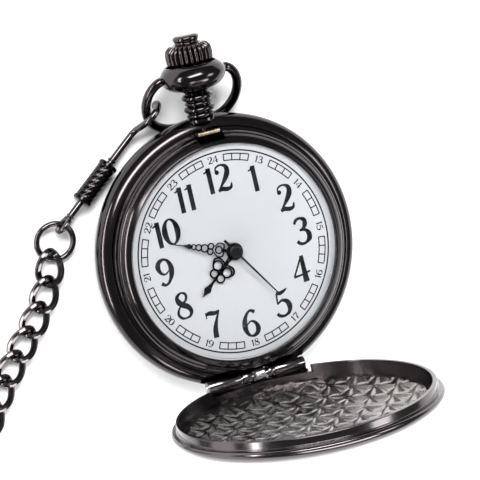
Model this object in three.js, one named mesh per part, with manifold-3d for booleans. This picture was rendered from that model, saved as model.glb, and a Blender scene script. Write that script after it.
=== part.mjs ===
// A hunter-case pocket watch with a quartz movement, lying on its back with the front cover open,
// with its bow, its spring clasp and its chain.
// Millimetres. The origin is the centre of the flat of the case back, +Z comes out of the dial,
// +Y points to 12 o'clock and the crown, +X to 3 o'clock.

import * as THREE from 'three';
import { mergeVertices } from 'three/addons/utils/BufferGeometryUtils.js';
import Module from 'manifold-3d';

const wasm = await Module();
wasm.setup();

// ---- driving dimensions ----------------------------------------------------------------------

const caseRadius = 23.5;        // half of the 47 mm case
const dialTop = 10;             // the printed face of the dial above the resting face
const openingRadius = 18.6;     // the bezel's opening
const stemHeight = 7;           // the axis of the stem, crown and pendant
const hingeY = -22.2;           // the axis of the cover's hinge
const hingeZ = 8.4;             // level with the shoulder that the closed cover comes down to
const coverAngle = 93.2;        // the cover stands open by this much
const bowPivotY = 31;           // the bow's ends turn in the cup here
const bowFold = 33;             // the bow lies this far below the level, on the table
const wireRadius = 0.82;        // half of the bow's wire
const rim = 40;                 // steps round a case ring
const smallestEdge = 0.004;     // shorter edges, left where two solids were cut, are merged away

// ---- helpers ---------------------------------------------------------------------------------

const radians = THREE.MathUtils.degToRad;
const point = (x, y, z) => new THREE.Vector3(x, y, z);

// A closed geometry as a solid: shared corners merged, slivers dropped, faces pointing out.
function solid(geometry) {
  const bare = geometry.clone();
  bare.deleteAttribute('normal');
  bare.deleteAttribute('uv');
  const merged = mergeVertices(bare, 1e-4);
  const at = merged.attributes.position;
  const index = merged.index.array;
  const triangles = [];
  let volume = 0;
  for (let k = 0; k < index.length; k += 3) {
    const [a, b, c] = [index[k], index[k + 1], index[k + 2]];
    if (a === b || b === c || c === a) continue;
    triangles.push(a, b, c);
    const [p, q, r] = [a, b, c].map((i) => point().fromBufferAttribute(at, i));
    volume += p.dot(q.cross(r));
  }
  if (volume < 0) triangles.reverse();
  return new wasm.Manifold(new wasm.Mesh({
    numProp: 3,
    vertProperties: new Float32Array(at.array),
    triVerts: new Uint32Array(triangles),
  }));
}

function geometryOf(body) {
  const mesh = body.simplify(smallestEdge).getMesh();
  const geometry = new THREE.BufferGeometry();
  geometry.setAttribute('position', new THREE.BufferAttribute(new Float32Array(mesh.vertProperties), 3));
  geometry.setIndex(new THREE.BufferAttribute(new Uint32Array(mesh.triVerts), 1));
  return geometry;
}

const join = (...bodies) => bodies.reduce((whole, body) => whole.add(body));
const cut = (body, ...tools) => tools.reduce((left, tool) => left.subtract(tool), body);

// A body turned round the Z axis from [radius, height] points; a profile off the axis closes on itself.
function turned(profile, steps = rim) {
  const points = profile.map(([radius, height]) => new THREE.Vector2(radius, height));
  if (profile[0][0] > 0) points.push(points[0].clone());
  return solid(new THREE.LatheGeometry(points, steps).rotateX(Math.PI / 2));
}

// The same, turned round the stem's axis, where height runs along +Y.
function turnedOnStem(profile, steps = 24) {
  const points = profile.map(([radius, along]) => new THREE.Vector2(radius, along));
  if (profile[0][0] > 0) points.push(points[0].clone());
  return solid(new THREE.LatheGeometry(points, steps).translate(0, 0, stemHeight));
}

function box(low, high) {
  const size = low.map((value, k) => high[k] - value);
  const middle = low.map((value, k) => (high[k] + value) / 2);
  return solid(new THREE.BoxGeometry(...size).translate(...middle));
}

// A round bar from one point to another.
function bar(from, to, radius, sides = 12) {
  const along = to.clone().sub(from);
  const geometry = new THREE.CylinderGeometry(radius, radius, along.length(), sides);
  const lean = new THREE.Quaternion().setFromUnitVectors(point(0, 1, 0), along.clone().normalize());
  geometry.applyQuaternion(lean);
  return solid(geometry.translate(...from.clone().add(to).multiplyScalar(0.5)));
}

// A round or oval wire along a curve.
function wire(curve, radius, steps, sides = 8, flatness = 1) {
  const section = new THREE.Shape(Array.from({ length: sides }, (_, k) => {
    const angle = (2 * Math.PI * (k + 0.5)) / sides;
    return new THREE.Vector2(radius * Math.cos(angle), radius * flatness * Math.sin(angle));
  }));
  return solid(new THREE.ExtrudeGeometry(section, { steps, extrudePath: curve, bevelEnabled: false }));
}

// A plate cut to an outline in the XY plane, between two heights.
function plate(shape, bottom, top, curveSegments = 6) {
  const settings = { depth: top - bottom, bevelEnabled: false, curveSegments };
  return solid(new THREE.ExtrudeGeometry(shape, settings).translate(0, 0, bottom));
}

function disc(radius, bottom, top, hole = 0, steps = 32) {
  const profile = hole
    ? [[hole, bottom], [radius, bottom], [radius, top], [hole, top]]
    : [[0, bottom], [radius, bottom], [radius, top], [0, top]];
  return turned(profile, steps);
}

const group = new THREE.Group();
group.name = 'hunter_pocket_watch';

const finishes = {
  gunmetal: { color: 0x2b282b, roughness: 0.16, metalness: 1 },
  steel: { color: 0xb9b9bd, roughness: 0.25, metalness: 1 },
  brass: { color: 0xc8a45a, roughness: 0.3, metalness: 1 },
  dialWhite: { color: 0xececf1, roughness: 0.55, metalness: 0 },
  blackHand: { color: 0x0b0b0c, roughness: 0.3, metalness: 0.3 },
  glass: { color: 0xf4f7f8, roughness: 0.02, metalness: 0, transparent: true, opacity: 0.2 },
  holder: { color: 0x151515, roughness: 0.5, metalness: 0 },
  board: { color: 0x1f5a34, roughness: 0.5, metalness: 0 },
  copper: { color: 0xb5652b, roughness: 0.35, metalness: 1 },
};

function add(name, body, finish, parent = group) {
  const mesh = new THREE.Mesh(geometryOf(body), new THREE.MeshStandardMaterial(finishes[finish]));
  mesh.name = name;
  parent.add(mesh);
  return mesh;
}

// ---- case middle -----------------------------------------------------------------------------

const shoulderTop = 8.3;        // the seat that the closed cover's lip comes down to
const latchHalfWidth = 2.4;     // the window for the latch at 12 o'clock
const hingeCutHalf = 9.6;       // the flat cut for the hinge at 6 o'clock
const knuckleRadius = 1.05;
const pusherBore = 0.95;
const bezelLand = 19.3;         // the bezel's thin inner land runs on past the latch window
const pinHole = 0.6;
const stemAxis = (y) => point(0, y, stemHeight);
const hingeAxis = (x) => point(x, hingeY, hingeZ);

let middle = turned([
  [20.6, 2.9], [22.4, 2.9], [23.15, 4], [caseRadius, 5.4], [caseRadius, 6.6], [23.2, 7.3], [22.4, 8],
  [20.8, shoulderTop], [19.3, shoulderTop], [19.3, 3.9], [20.6, 3.9],
]);
middle = cut(
  middle,
  box([-hingeCutHalf, -25, 5.9], [hingeCutHalf, -20.3, 12]),
  box([-latchHalfWidth, 18, 5.6], [latchHalfWidth, 21.6, 12]),
  bar(stemAxis(18), stemAxis(26), pusherBore, 20),
);

// A knuckle is a rolled barrel with a web that runs down to the case or up to the cover.
function knuckle(from, to, webLow, webHigh) {
  return join(
    bar(hingeAxis(from), hingeAxis(to), knuckleRadius, 16),
    box([from, webLow[0], webLow[1]], [to, webHigh[0], webHigh[1]]),
  );
}
const pinBore = bar(hingeAxis(-12), hingeAxis(12), pinHole, 12);
const caseKnuckles = [[-2.6, -0.6], [2.2, 3.1]].map(([from, to]) =>
  knuckle(from, to, [hingeY - knuckleRadius, 5.2], [hingeY + knuckleRadius, hingeZ]));
middle = cut(join(middle, ...caseKnuckles), pinBore);
add('case_middle', middle, 'gunmetal');

// ---- case back -------------------------------------------------------------------------------

add('case_back', turned([
  [0, 0], [12, 0], [16, 0.4], [19.6, 1.25], [21.6, 2], [22.3, 2.6], [20.2, 2.6], [20.2, 3.6],
  [19.5, 3.6], [19.3, 2.2], [16, 1.3], [12, 0.8], [0, 0.8],
]), 'gunmetal');

// ---- bezel and crystal -----------------------------------------------------------------------

const bezel = turned([
  [openingRadius, 10.2], [openingRadius, 10.9], [19.7, 10.4], [20.25, 9.75], [20.6, 9.5], [20.75, 9.2],
  [20.75, 8.6], [19.1, 8.6], [19.1, 10.2],
]);
add('bezel', cut(bezel, box([-latchHalfWidth, bezelLand, 8], [latchHalfWidth, 22, 12])), 'gunmetal');

const domeRadius = 130;         // the crystal's outer and inner faces are shallow domes
const dome = (apex, reach) => {
  const centre = apex - domeRadius;
  return [1, 0.66, 0.33, 0].map((share) => {
    const radius = reach * share;
    return [radius, centre + Math.sqrt(domeRadius ** 2 - radius ** 2)];
  });
};
add('crystal', turned([...dome(11.55, 17.9).reverse(), [18.3, 10.25], ...dome(12.2, 18.3)]), 'glass');

// ---- dial and hands --------------------------------------------------------------------------

const hub = { hour: [10.25, 10.42], minute: [10.64, 10.8], second: [11.02, 11.14] };
const handAngle = { hour: 229.5, minute: 290.2, second: 145.2 };   // clockwise from 12 o'clock

add('dial', disc(18.7, dialTop - 0.4, dialTop, 1.65, rim), 'dialWhite');

// An outline of [across, along] points on one side of a hand, mirrored to the other side.
function handOutline(side, eyes = []) {
  const mirrored = side.map(([across, along]) => [-across, along]).reverse();
  const shape = new THREE.Shape([...side, ...mirrored].map(([x, y]) => new THREE.Vector2(x, y)));
  for (const [x, y, radius] of eyes) {
    shape.holes.push(new THREE.Path().absarc(x, y, radius, 0, 2 * Math.PI, true));
  }
  return shape;
}

function hand(name, side, eyes, boreRadius, parentRing) {
  const [bottom, top] = hub[name];
  const blank = join(plate(handOutline(side, eyes), bottom, top, 5), disc(parentRing, bottom, top, 0, 20));
  const bore = disc(boreRadius, bottom - 1, top + 1, 0, 16);
  return cut(blank, bore).rotate([0, 0, -handAngle[name]]);
}

const hourHand = hand('hour', [
  [0.28, 0.6], [0.28, 2.6], [1.25, 3.1], [1.45, 3.9], [0.9, 4.5], [1.5, 5.2], [1.1, 6.1], [0.3, 6.3],
  [0.3, 7.1], [0.75, 7.2], [0.1, 9.1],
], [[0.78, 3.75, 0.34], [-0.78, 3.75, 0.34], [0, 5.3, 0.42]], 0.95, 1.25);
add('hour_hand', hourHand, 'blackHand');

const minuteHand = hand('minute', [
  [0.25, 0.5], [0.25, 5.2], [0.85, 5.6], [0.85, 6.3], [0.4, 6.8], [0.85, 7.5], [0.3, 8.5], [0.45, 9.2],
  [0.08, 12.6],
], [[0.42, 5.95, 0.2], [-0.42, 5.95, 0.2], [0, 7.5, 0.26]], 0.45, 0.95);
add('minute_hand', minuteHand, 'blackHand');

const [secondLow, secondTop] = hub.second;
const secondHand = join(
  plate(handOutline([[0.16, -2.9], [0.09, 0], [0.05, 10.5]]), secondLow, secondTop),
  disc(0.95, secondLow, secondTop + 0.16, 0, 20),
).rotate([0, 0, -handAngle.second]);
add('second_hand', secondHand, 'blackHand');

// ---- movement: plates and holder -------------------------------------------------------------

const plateRadius = 13.6;
const trainCentre = { second: [0, 0], third: [3.9, 3.3], intermediate: [-3.6, 2.2], rotor: [-7, 1] };
const minuteWheelAt = [2.6, -2.2];

const holderChannel = box([-1.9, 12, 5.6], [1.9, 20, 9.5]);
const holder = disc(19, 3.9, 9.3, 14, rim);
add('movement_holder', cut(holder, holderChannel, box([-2.6, 17.8, 3], [2.6, 20, 10])), 'holder');

const at = (body, [x, y]) => body.translate([x, y, 0]);
const boardScrewAt = [3.2, -5.4];
const pillarPlaces = [[10.5, 5], [-11.3, -2.5], boardScrewAt];
const pillars = pillarPlaces.map((place) => at(disc(0.6, 5.4, 7.7, 0, 12), place));
const settingRecess = box([-1.9, 7.5, 5], [1.9, 14, 8]);
const centreHole = disc(1.1, 7, 9, 0, 16);
const mainPlate = cut(join(disc(plateRadius, 7.6, 8.2), ...pillars), centreHole, settingRecess);
add('main_plate', mainPlate, 'brass');

const bridgeOutline = new THREE.Shape([[-9.8, -1], [-10.6, 8.8], [9.5, 6.6], [12, 4], [7, -3], [3.2, -3.6]]
  .map(([x, y]) => new THREE.Vector2(x, y)));
add('train_bridge', cut(plate(bridgeOutline, 4.9, 5.2), box([-1.9, 7.4, 4], [1.9, 12, 6])), 'steel');

// ---- movement: going train -------------------------------------------------------------------

// A wheel or pinion with pointed teeth of the given module; phase turns it by part of a tooth.
function wheel(teeth, module, bottom, top, phase = 0) {
  const pitch = (teeth * module) / 2;
  const outline = Array.from({ length: teeth }, (_, k) => {
    const angle = (2 * Math.PI * (k + phase)) / teeth;
    const halfTooth = Math.PI / teeth;
    const tip = pitch + 0.6 * module;
    const root = pitch - 0.86 * module;
    return [[tip, angle], [root, angle + halfTooth]]
      .map(([radius, turn]) => new THREE.Vector2(radius * Math.cos(turn), radius * Math.sin(turn)));
  }).flat();
  return plate(new THREE.Shape(outline), bottom, top);
}

// Both axes' distance fixes the module, so each pair meshes at the distance its pivots stand apart.
const apart = ([x, y], [u, v]) => Math.hypot(x - u, y - v);
const moduleOf = (distance, driver, driven) => (2 * distance) / (driver + driven);
const bearing = ([x, y], [u, v]) => Math.atan2(v - y, u - x) / (2 * Math.PI);

// The phases that put a tooth of the driver into a gap of the driven wheel on the line of centres.
const toothTowards = (teeth, from, to) => teeth * bearing(from, to);
const gapTowards = (teeth, from, to) => teeth * bearing(from, to) + 0.5;

const teeth = { rotor: 6, intermediate: [30, 6], second: [36, 6], third: [45, 6], centre: 48 };
const motion = { cannon: 10, minute: [30, 8], hour: 32 };

const { second, third, intermediate, rotor } = trainCentre;
const rotorModule = moduleOf(apart(rotor, intermediate), teeth.rotor, teeth.intermediate[0]);
const secondModule = moduleOf(apart(intermediate, second), teeth.intermediate[1], teeth.second[0]);
const thirdModule = moduleOf(apart(second, third), teeth.second[1], teeth.third[0]);
const centreModule = moduleOf(apart(third, second), teeth.third[1], teeth.centre);

add('rotor', at(join(
  wheel(teeth.rotor, rotorModule, 6.15, 6.5, toothTowards(teeth.rotor, rotor, intermediate)),
  disc(0.85, 6.75, 7.25, 0, 16), disc(0.15, 5.35, 7.4, 0, 8),
), rotor), 'steel');

const [intermediateTeeth, intermediateLeaves] = teeth.intermediate;
add('intermediate_wheel', at(join(
  wheel(intermediateTeeth, rotorModule, 6.2, 6.4, gapTowards(intermediateTeeth, intermediate, rotor)),
  wheel(intermediateLeaves, secondModule, 5.5, 6.3, toothTowards(intermediateLeaves, intermediate, second)),
  disc(0.15, 5.35, 7.05, 0, 8),
), intermediate), 'brass');

add('second_wheel', join(
  wheel(teeth.second[0], secondModule, 5.6, 5.8, gapTowards(teeth.second[0], second, intermediate)),
  wheel(teeth.second[1], thirdModule, 5.7, 6.9, toothTowards(teeth.second[1], second, third)),
  disc(0.18, 5.35, secondLow - 0.05, 0, 8),
), 'brass');

add('third_wheel', at(join(
  wheel(teeth.third[0], thirdModule, 6.65, 6.85, gapTowards(teeth.third[0], third, second)),
  wheel(teeth.third[1], centreModule, 6.75, 7.45, toothTowards(teeth.third[1], third, second)),
  disc(0.15, 5.35, 7.5, 0, 8),
), third), 'brass');

// The centre wheel's pipe is the cannon pinion; it carries the minute hand.
const motionModule = moduleOf(apart(minuteWheelAt, second), motion.cannon, motion.minute[0]);
const hourModule = moduleOf(apart(minuteWheelAt, second), motion.minute[1], motion.hour);
add('centre_wheel', cut(
  join(
    wheel(teeth.centre, centreModule, 7.15, 7.35, gapTowards(teeth.centre, second, third)),
    disc(0.75, 7.2, 8.5, 0, 16),
    wheel(motion.cannon, motionModule, 8.4, 8.75, toothTowards(motion.cannon, second, minuteWheelAt)),
    disc(0.62, 8.6, hub.minute[0] - 0.08, 0, 16),
  ),
  disc(0.36, 6, 12, 0, 12),
), 'brass');

add('minute_wheel', at(join(
  wheel(motion.minute[0], motionModule, 8.45, 8.7, gapTowards(motion.minute[0], minuteWheelAt, second)),
  wheel(motion.minute[1], hourModule, 8.6, 9.25, toothTowards(motion.minute[1], minuteWheelAt, second)),
), minuteWheelAt), 'brass');

add('hour_wheel', cut(
  join(
    wheel(motion.hour, hourModule, 9, 9.25, gapTowards(motion.hour, second, minuteWheelAt)),
    disc(1.3, 9.1, hub.hour[0] - 0.08, 0, 16),
  ),
  disc(0.85, 8, 12, 0, 16),
), 'brass');

// ---- movement: drive and circuit -------------------------------------------------------------

const stator = cut(
  box([-11.5, 2.2, 6.75], [-3.4, 4, 7.1]).add(box([-8.6, -0.6, 6.75], [-5.4, 3, 7.1])),
  disc(1.15, 6, 8, 0, 16).translate([rotor[0], rotor[1], 0]),
  disc(1, 6, 8, 0, 12).translate([intermediate[0], intermediate[1], 0]),
);
add('stator', stator, 'steel');
add('coil', bar(point(-11.2, 5.6, 6.4), point(-4.4, 9.8, 6.4), 1, 12), 'copper');

const batteryAt = [-5.1, -7.5];
add('battery', at(disc(4.6, 5.1, 7), batteryAt), 'steel');
add('battery_clamp', cut(
  box([-10, -8.4, 4.5], [0.4, -6.4, 4.8]).add(box([0, -8.4, 4.5], [0.4, -6.4, 5.8])),
  disc(0.5, 4, 6, 0, 12).translate([-9, -7, 0]),
), 'steel');
add('circuit_board', cut(
  box([1.9, -10, 5.9], [8.6, -4, 6.2]),
  at(disc(0.9, 5, 7, 0, 12), boardScrewAt),
), 'board');
add('quartz_can', bar(point(3, -9.2, 5.3), point(8.8, -6.4, 5.3), 0.5, 12), 'steel');
add('timing_chip', box([5.2, -6.5, 6.35], [8.2, -4.4, 7.2]), 'holder');

// ---- setting work, stem and crown ------------------------------------------------------------

const stemRadius = 0.5;
add('setting_lever', cut(
  box([-1.4, 8.2, 5.3], [7.5, 9.4, 5.6]),
  disc(0.6, 5, 6, 0, 12).translate([6.6, 8.8, 0]),
), 'steel');
add('setting_screw', join(
  disc(0.75, 4.85, 5.1, 0, 14).translate([6.6, 8.8, 0]),
  disc(0.35, 5.05, 7.4, 0, 10).translate([6.6, 8.8, 0]),
), 'steel');

const stemInner = 8.6;
const crownFoot = 32.65;        // the crown's underside, just inside the cup's mouth
const clipAt = 31.3;
add('winding_stem', turnedOnStem([
  [0, stemInner], [stemRadius, stemInner], [stemRadius, clipAt - 0.15], [0.3, clipAt - 0.15],
  [0.3, clipAt + 0.45], [stemRadius, clipAt + 0.45], [stemRadius, 34.6], [0, 34.6],
], 12), 'steel');

const flutes = 26;
const crownRadius = 4;
const flutedOutline = new THREE.Shape(Array.from({ length: flutes * 2 }, (_, k) => {
  const angle = (Math.PI * k) / flutes;
  const radius = k % 2 ? crownRadius : crownRadius - 0.38;
  return new THREE.Vector2(radius * Math.cos(angle), radius * Math.sin(angle));
}));
const flutedBarrel = plate(flutedOutline, crownFoot, 36.3);
const crownShape = turned([
  [0, crownFoot], [3.5, crownFoot], [4, 33.3], [4.1, 34.4], [3.9, 35.5], [3.2, 36.1], [2, 36.2],
  [1.75, 36.5], [1.9, 36.9], [1.95, 37.5], [1.6, 37.8], [0, 37.85],
], 26);
const crownBody = crownShape.intersect(join(flutedBarrel, disc(2.05, 36, 38, 0, 26)));
const crownBlind = disc(stemRadius + 0.15, crownFoot - 1, 34.8, 0, 12);
add('crown', cut(crownBody, crownBlind).rotate([-90, 0, 0]).translate([0, 0, stemHeight]), 'gunmetal');

// The pusher is a sleeve round the stem: the crown's foot drives it in, and it drives the latch.
add('latch_pusher', turnedOnStem([
  [0.62, 21.7], [0.85, 21.7], [0.85, 24.5], [1.3, 24.5], [1.3, 30.5], [2.3, 30.5], [2.3, 30.9], [0.62, 30.9],
], 16), 'steel');
add('stem_clip', turnedOnStem([
  [0.42, clipAt], [1.9, clipAt], [1.9, clipAt + 0.3], [0.42, clipAt + 0.3],
], 16), 'steel');

// ---- pendant: ribbed neck and cup ------------------------------------------------------------

const cupMouth = 32.8;
const cupRecess = 28.7;
const ribs = [[24, 0.9], [25, 0.9], [26, 0.9], [27.1, 0.9]];
const ribProfile = ribs.flatMap(([start, length]) =>
  [[2.15, start], [2.5, start + 0.25 * length], [2.5, start + 0.75 * length]]);
const pendantProfile = [
  [1.7, 22.6], [2.3, 22.6], ...ribProfile, [2.1, 28.1], [3.1, 28.4], [4.7, 29.4], [5.45, 30.6],
  [5.4, 31.5], [4.9, 32.4], [4.6, cupMouth], [4.3, cupMouth], [4.3, 31.75], [2.9, 31.75],
  [2.9, cupRecess], [1.7, cupRecess],
];
const bowSockets = [-1, 1].map((side) =>
  bar(point(side * 4.2, bowPivotY, stemHeight), point(side * 8, bowPivotY, stemHeight), 0.75, 10));
const pendant = cut(
  turnedOnStem(pendantProfile, 24),
  ...bowSockets,
  turned([[0, 0], [caseRadius + 0.12, 0], [caseRadius + 0.12, 14], [0, 14]], rim),
);
add('pendant', pendant, 'gunmetal');

// A closed helix of spring wire round the Y axis of the stem.
class Helix extends THREE.Curve {
  constructor(centre, radius, pitch, turns, along) {
    super();
    Object.assign(this, { centre, radius, pitch, turns, along });
  }

  getPoint(share, target = new THREE.Vector3()) {
    const angle = 2 * Math.PI * this.turns * share;
    const advance = this.pitch * this.turns * share;
    const [a, b] = [this.radius * Math.cos(angle), this.radius * Math.sin(angle)];
    return this.along === 'y'
      ? target.set(this.centre[0] + a, this.centre[1] + advance, this.centre[2] + b)
      : target.set(this.centre[0] + advance, this.centre[1] + a, this.centre[2] + b);
  }
}
const crownCoil = new Helix([0, cupRecess + 0.2, stemHeight], 2.2, 0.28, 2, 'y');
add('crown_spring', wire(crownCoil, 0.12, 22, 5), 'steel');

// ---- latch -----------------------------------------------------------------------------------

const latchBlade = box([-2, 20.45, 5.8], [2, 20.95, 9.45]);
const latchNose = box([-1.9, 20.6, 9.05], [1.9, 21.1, 9.45]);
const latchEye = bar(stemAxis(19), stemAxis(22), 0.75, 12);
add('latch', cut(join(latchBlade, latchNose), latchEye), 'brass');

// ---- front cover, its hinge and spring -------------------------------------------------------

const lipFoot = 8.5;
const flangeRadius = 23.3;
const coverCut = 9.4;
let cover = turned([
  [21.35, lipFoot], [22.15, lipFoot], [22.15, 9.7], [22.9, 9.85], [flangeRadius, 10.3], [23.1, 11],
  [22.2, 11.9], [19.5, 12.9], [14, 13.8], [7, 14.25], [0, 14.4], [0, 13.6], [10, 13.2], [17, 12.4],
  [20.8, 11.6], [21.35, 11.2],
]);
cover = cut(cover, box([-coverCut, -24, 8], [coverCut, -19, 9.7]));
const coverCatch = box([-1.5, 21.15, 8.55], [1.5, 21.7, 8.85]);
const coverKnuckles = [[-9.1, -2.9], [3.4, 9.1]].map(([from, to]) =>
  knuckle(from, to, [hingeY - 0.4, hingeZ], [hingeY + 1, 10.4]));
const coverKeep = turned([[0, 6], [24, 6], [24, 15], [0, 15]]);
cover = cut(join(cover, coverCatch, ...coverKnuckles), pinBore).intersect(coverKeep);

// The cover is drawn closed and swung open about its hinge.
const swing = new THREE.Group();
swing.position.set(0, hingeY, hingeZ);
swing.rotation.x = radians(coverAngle);
group.add(swing);
add('front_cover', cover.translate([0, -hingeY, -hingeZ]), 'gunmetal', swing);

add('hinge_pin', bar(hingeAxis(-9.2), hingeAxis(9.2), 0.4, 12), 'steel');
const springCoil = wire(new Helix([-0.2, hingeY, hingeZ], 0.9, 0.5, 3, 'x'), 0.2, 30, 6);
add('lid_spring', springCoil, 'steel');

// ---- bow -------------------------------------------------------------------------------------

// The bow's own plane runs across in X and out from its pivots towards the far end.
const fold = radians(bowFold);
const onBow = (across, out) =>
  point(across, bowPivotY - out * Math.cos(fold), stemHeight - out * Math.sin(fold));
const bowHalf = [
  [4.4, 0], [5.6, 0], [6.9, 0.7], [8, 2.3], [8.5, 4.6], [8.1, 7.2], [6.7, 9.4], [4.4, 10.8], [2, 11.2],
];
const bowPoints = [
  ...bowHalf.map(([x, out]) => onBow(-x, out)), onBow(0, 11.25),
  ...bowHalf.map(([x, out]) => onBow(x, out)).reverse(),
];
const bowWire = wire(new THREE.CatmullRomCurve3(bowPoints), wireRadius, 34, 8);
const onPivot = (x) => point(x, bowPivotY, stemHeight);
const bowShoulder = 5.75;       // the wire steps down to its pins here
const bowShoulders = cut(bowWire, bar(onPivot(-bowShoulder), onPivot(bowShoulder), 2, 12));
const bowPins = [-1, 1].map((side) =>
  bar(onPivot(side * 4.45), onPivot(side * 6), 0.5, 10));
add('bow', join(bowShoulders, ...bowPins), 'gunmetal');

// ---- clasp -----------------------------------------------------------------------------------

const claspHeight = 1.95;
const hookAt = onBow(-8.15, 7);
const claspTail = point(-25.8, 10.9, claspHeight);
const claspLine = claspTail.clone().sub(hookAt).setZ(0).normalize();
const onClasp = (along, aside = 0, height = claspHeight) =>
  point(
    claspTail.x - claspLine.x * along - claspLine.y * aside,
    claspTail.y - claspLine.y * along + claspLine.x * aside,
    height,
  );
const hookReach = claspTail.clone().setZ(0).distanceTo(hookAt.clone().setZ(0));
const shankRadius = 0.5;

// The hook rises over the bow's wire and comes down inside the bow, so the bow can swing free of it.
const hookRise = [[-5.5, 1.95], [-3.2, 2.3], [-1.9, 3.9], [-0.5, 5.15], [1.1, 5.3], [2.3, 4.2], [2.5, 2.9]];
const shankPoints = [0.9, 4, 10].map((along) => onClasp(along));
const hookPoints = [
  ...shankPoints, ...hookRise.map(([past, height]) => onClasp(hookReach + past, 0, height)),
];
const claspShank = wire(new THREE.CatmullRomCurve3(hookPoints), shankRadius, 30, 8);
const hookBall = solid(new THREE.SphereGeometry(0.85, 10, 7).translate(...onClasp(hookReach + 2.5, 0, 2.4)));
const claspEyeAt = onClasp(-0.7);
const claspEye = new THREE.TorusGeometry(1.35, 0.5, 6, 14)
  .rotateX(Math.PI / 2)
  .rotateZ(Math.atan2(claspLine.y, claspLine.x))
  .translate(...claspEyeAt);
add('clasp_hook', join(claspShank, hookBall, solid(claspEye)), 'gunmetal');

const sleeveFrom = 4.2;
const sleeveLength = 8.2;
const sleeveBody = cut(
  bar(onClasp(sleeveFrom), onClasp(sleeveFrom + sleeveLength), 1.75, 16),
  bar(onClasp(sleeveFrom + 3.6), onClasp(sleeveFrom - 1), 1.25, 12),
  bar(onClasp(sleeveFrom - 2), onClasp(sleeveFrom + sleeveLength + 2), shankRadius + 0.25, 10),
);
add('clasp_sleeve', sleeveBody, 'gunmetal');

// ---- chain -----------------------------------------------------------------------------------

const chainHeight = 1.6;        // the links lie flat, so the chain is wider than it is thick
const chainHalf = 2.8;
const ringWire = 0.5;
const ringRadius = 3.2;
const ringTilt = radians(12);   // one side hangs in the clasp's eye, the other rests on the table
const ringOut = point(-0.6 * Math.cos(ringTilt), -0.8 * Math.cos(ringTilt), -Math.sin(ringTilt));
const ringAcross = point(0.8, -0.6, 0);
const ringAt = claspEyeAt.clone().addScaledVector(ringOut, ringRadius);
const ringPlace = new THREE.Matrix4()
  .makeBasis(ringOut, ringAcross, ringOut.clone().cross(ringAcross)).setPosition(ringAt);
const ring = new THREE.TorusGeometry(ringRadius, ringWire, 6, 20).applyMatrix4(ringPlace);
add('jump_ring', solid(ring), 'gunmetal');

const coilCentre = point(-80, -9, 0);
const coilOuter = 34.8;
const coilInner = 16.6;
const coiled = (body) => body.translate([coilCentre.x, coilCentre.y, 0]);
add('chain_coil', coiled(disc(coilOuter, 0.1, 3.1, coilInner, 36)), 'gunmetal');

const chainRoute = [
  [-31, 2.4], [-33, -1.4], [-35.6, -5.4], [-38.6, -9.3], [-41.6, -12.8], [-44.4, -16.3], [-46.6, -19.2],
].map(([x, y]) => point(x, y, chainHeight));
const chainRun = cut(
  wire(new THREE.CatmullRomCurve3(chainRoute), 1.5, 14, 8, chainHalf / 1.5),
  coiled(disc(coilOuter + 0.3, -1, 5, 0, 48)),
);
add('chain_run', chainRun, 'gunmetal');

const barAt = coilCentre.clone().setZ(1.35);
const barTurn = radians(60);
const barReach = point(Math.cos(barTurn), Math.sin(barTurn), 0);
const barEnd = (reach) => barAt.clone().addScaledVector(barReach, reach);
add('t_bar', join(
  bar(barEnd(-11), barEnd(11), 1, 10),
  ...[-11.4, 0, 11.4].map((reach) => solid(new THREE.SphereGeometry(1.3, 10, 7).translate(...barEnd(reach)))),
), 'gunmetal');

export default group;
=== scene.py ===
# A hunter-case pocket watch of polished black nickel, lying on its back with the cover standing open.
# Lengths are in millimetres and become metres as each mesh is made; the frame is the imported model's.

import itertools
import math

import bmesh
import bpy
import numpy as np
from mathutils import Matrix, Vector
from mathutils.geometry import tessellate_polygon


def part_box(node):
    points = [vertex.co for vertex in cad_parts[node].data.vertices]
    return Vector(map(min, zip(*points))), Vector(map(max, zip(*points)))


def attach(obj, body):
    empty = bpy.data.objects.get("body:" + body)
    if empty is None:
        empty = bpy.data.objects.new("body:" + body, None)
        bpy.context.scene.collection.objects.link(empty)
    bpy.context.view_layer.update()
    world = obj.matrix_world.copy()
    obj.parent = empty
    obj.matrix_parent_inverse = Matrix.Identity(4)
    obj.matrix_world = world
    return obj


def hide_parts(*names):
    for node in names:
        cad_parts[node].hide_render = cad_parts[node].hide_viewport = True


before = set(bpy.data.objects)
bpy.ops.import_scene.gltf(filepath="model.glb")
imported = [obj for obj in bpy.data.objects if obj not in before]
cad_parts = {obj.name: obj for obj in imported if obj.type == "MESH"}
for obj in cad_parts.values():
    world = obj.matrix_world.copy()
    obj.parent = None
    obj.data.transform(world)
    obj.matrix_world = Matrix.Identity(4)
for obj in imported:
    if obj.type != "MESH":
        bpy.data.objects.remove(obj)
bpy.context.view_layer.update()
scene = bpy.context.scene
MM = 0.001


# ---- Camera -------------------------------------------------------------------------------------
# The camera stands well back with a long lens and looks steeply down on the dial from the left of 12.

sight = Vector((0.33295, -0.17617, -0.92634))
upright = Vector((0.24254, 0.96534, -0.09641))
rightward = sight.cross(upright).normalized()
upright = rightward.cross(sight).normalized()
view_axes = Matrix((rightward, upright, -sight.normalized())).transposed().to_4x4()
camera_data = bpy.data.cameras.new("camera")
camera_data.lens = 300
camera_data.sensor_width = 36
camera = bpy.data.objects.new("camera", camera_data)
camera.matrix_world = Matrix.Translation(Vector((-225.8, 121.9, 642.3)) * MM) @ view_axes
scene.collection.objects.link(camera)
scene.camera = camera


# ---- Table --------------------------------------------------------------------------------------
# The table is a smooth white card with the faintest mottling, wide enough to fill every view.

def new_material(name):
    """A node material and its shader, with a noise in the object's own space to vary it."""
    material = bpy.data.materials.new(name)
    material.use_nodes = True
    tree = material.node_tree
    place = tree.nodes.new("ShaderNodeTexCoord")
    return material, tree, tree.nodes["Principled BSDF"], place.outputs["Object"]


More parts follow.
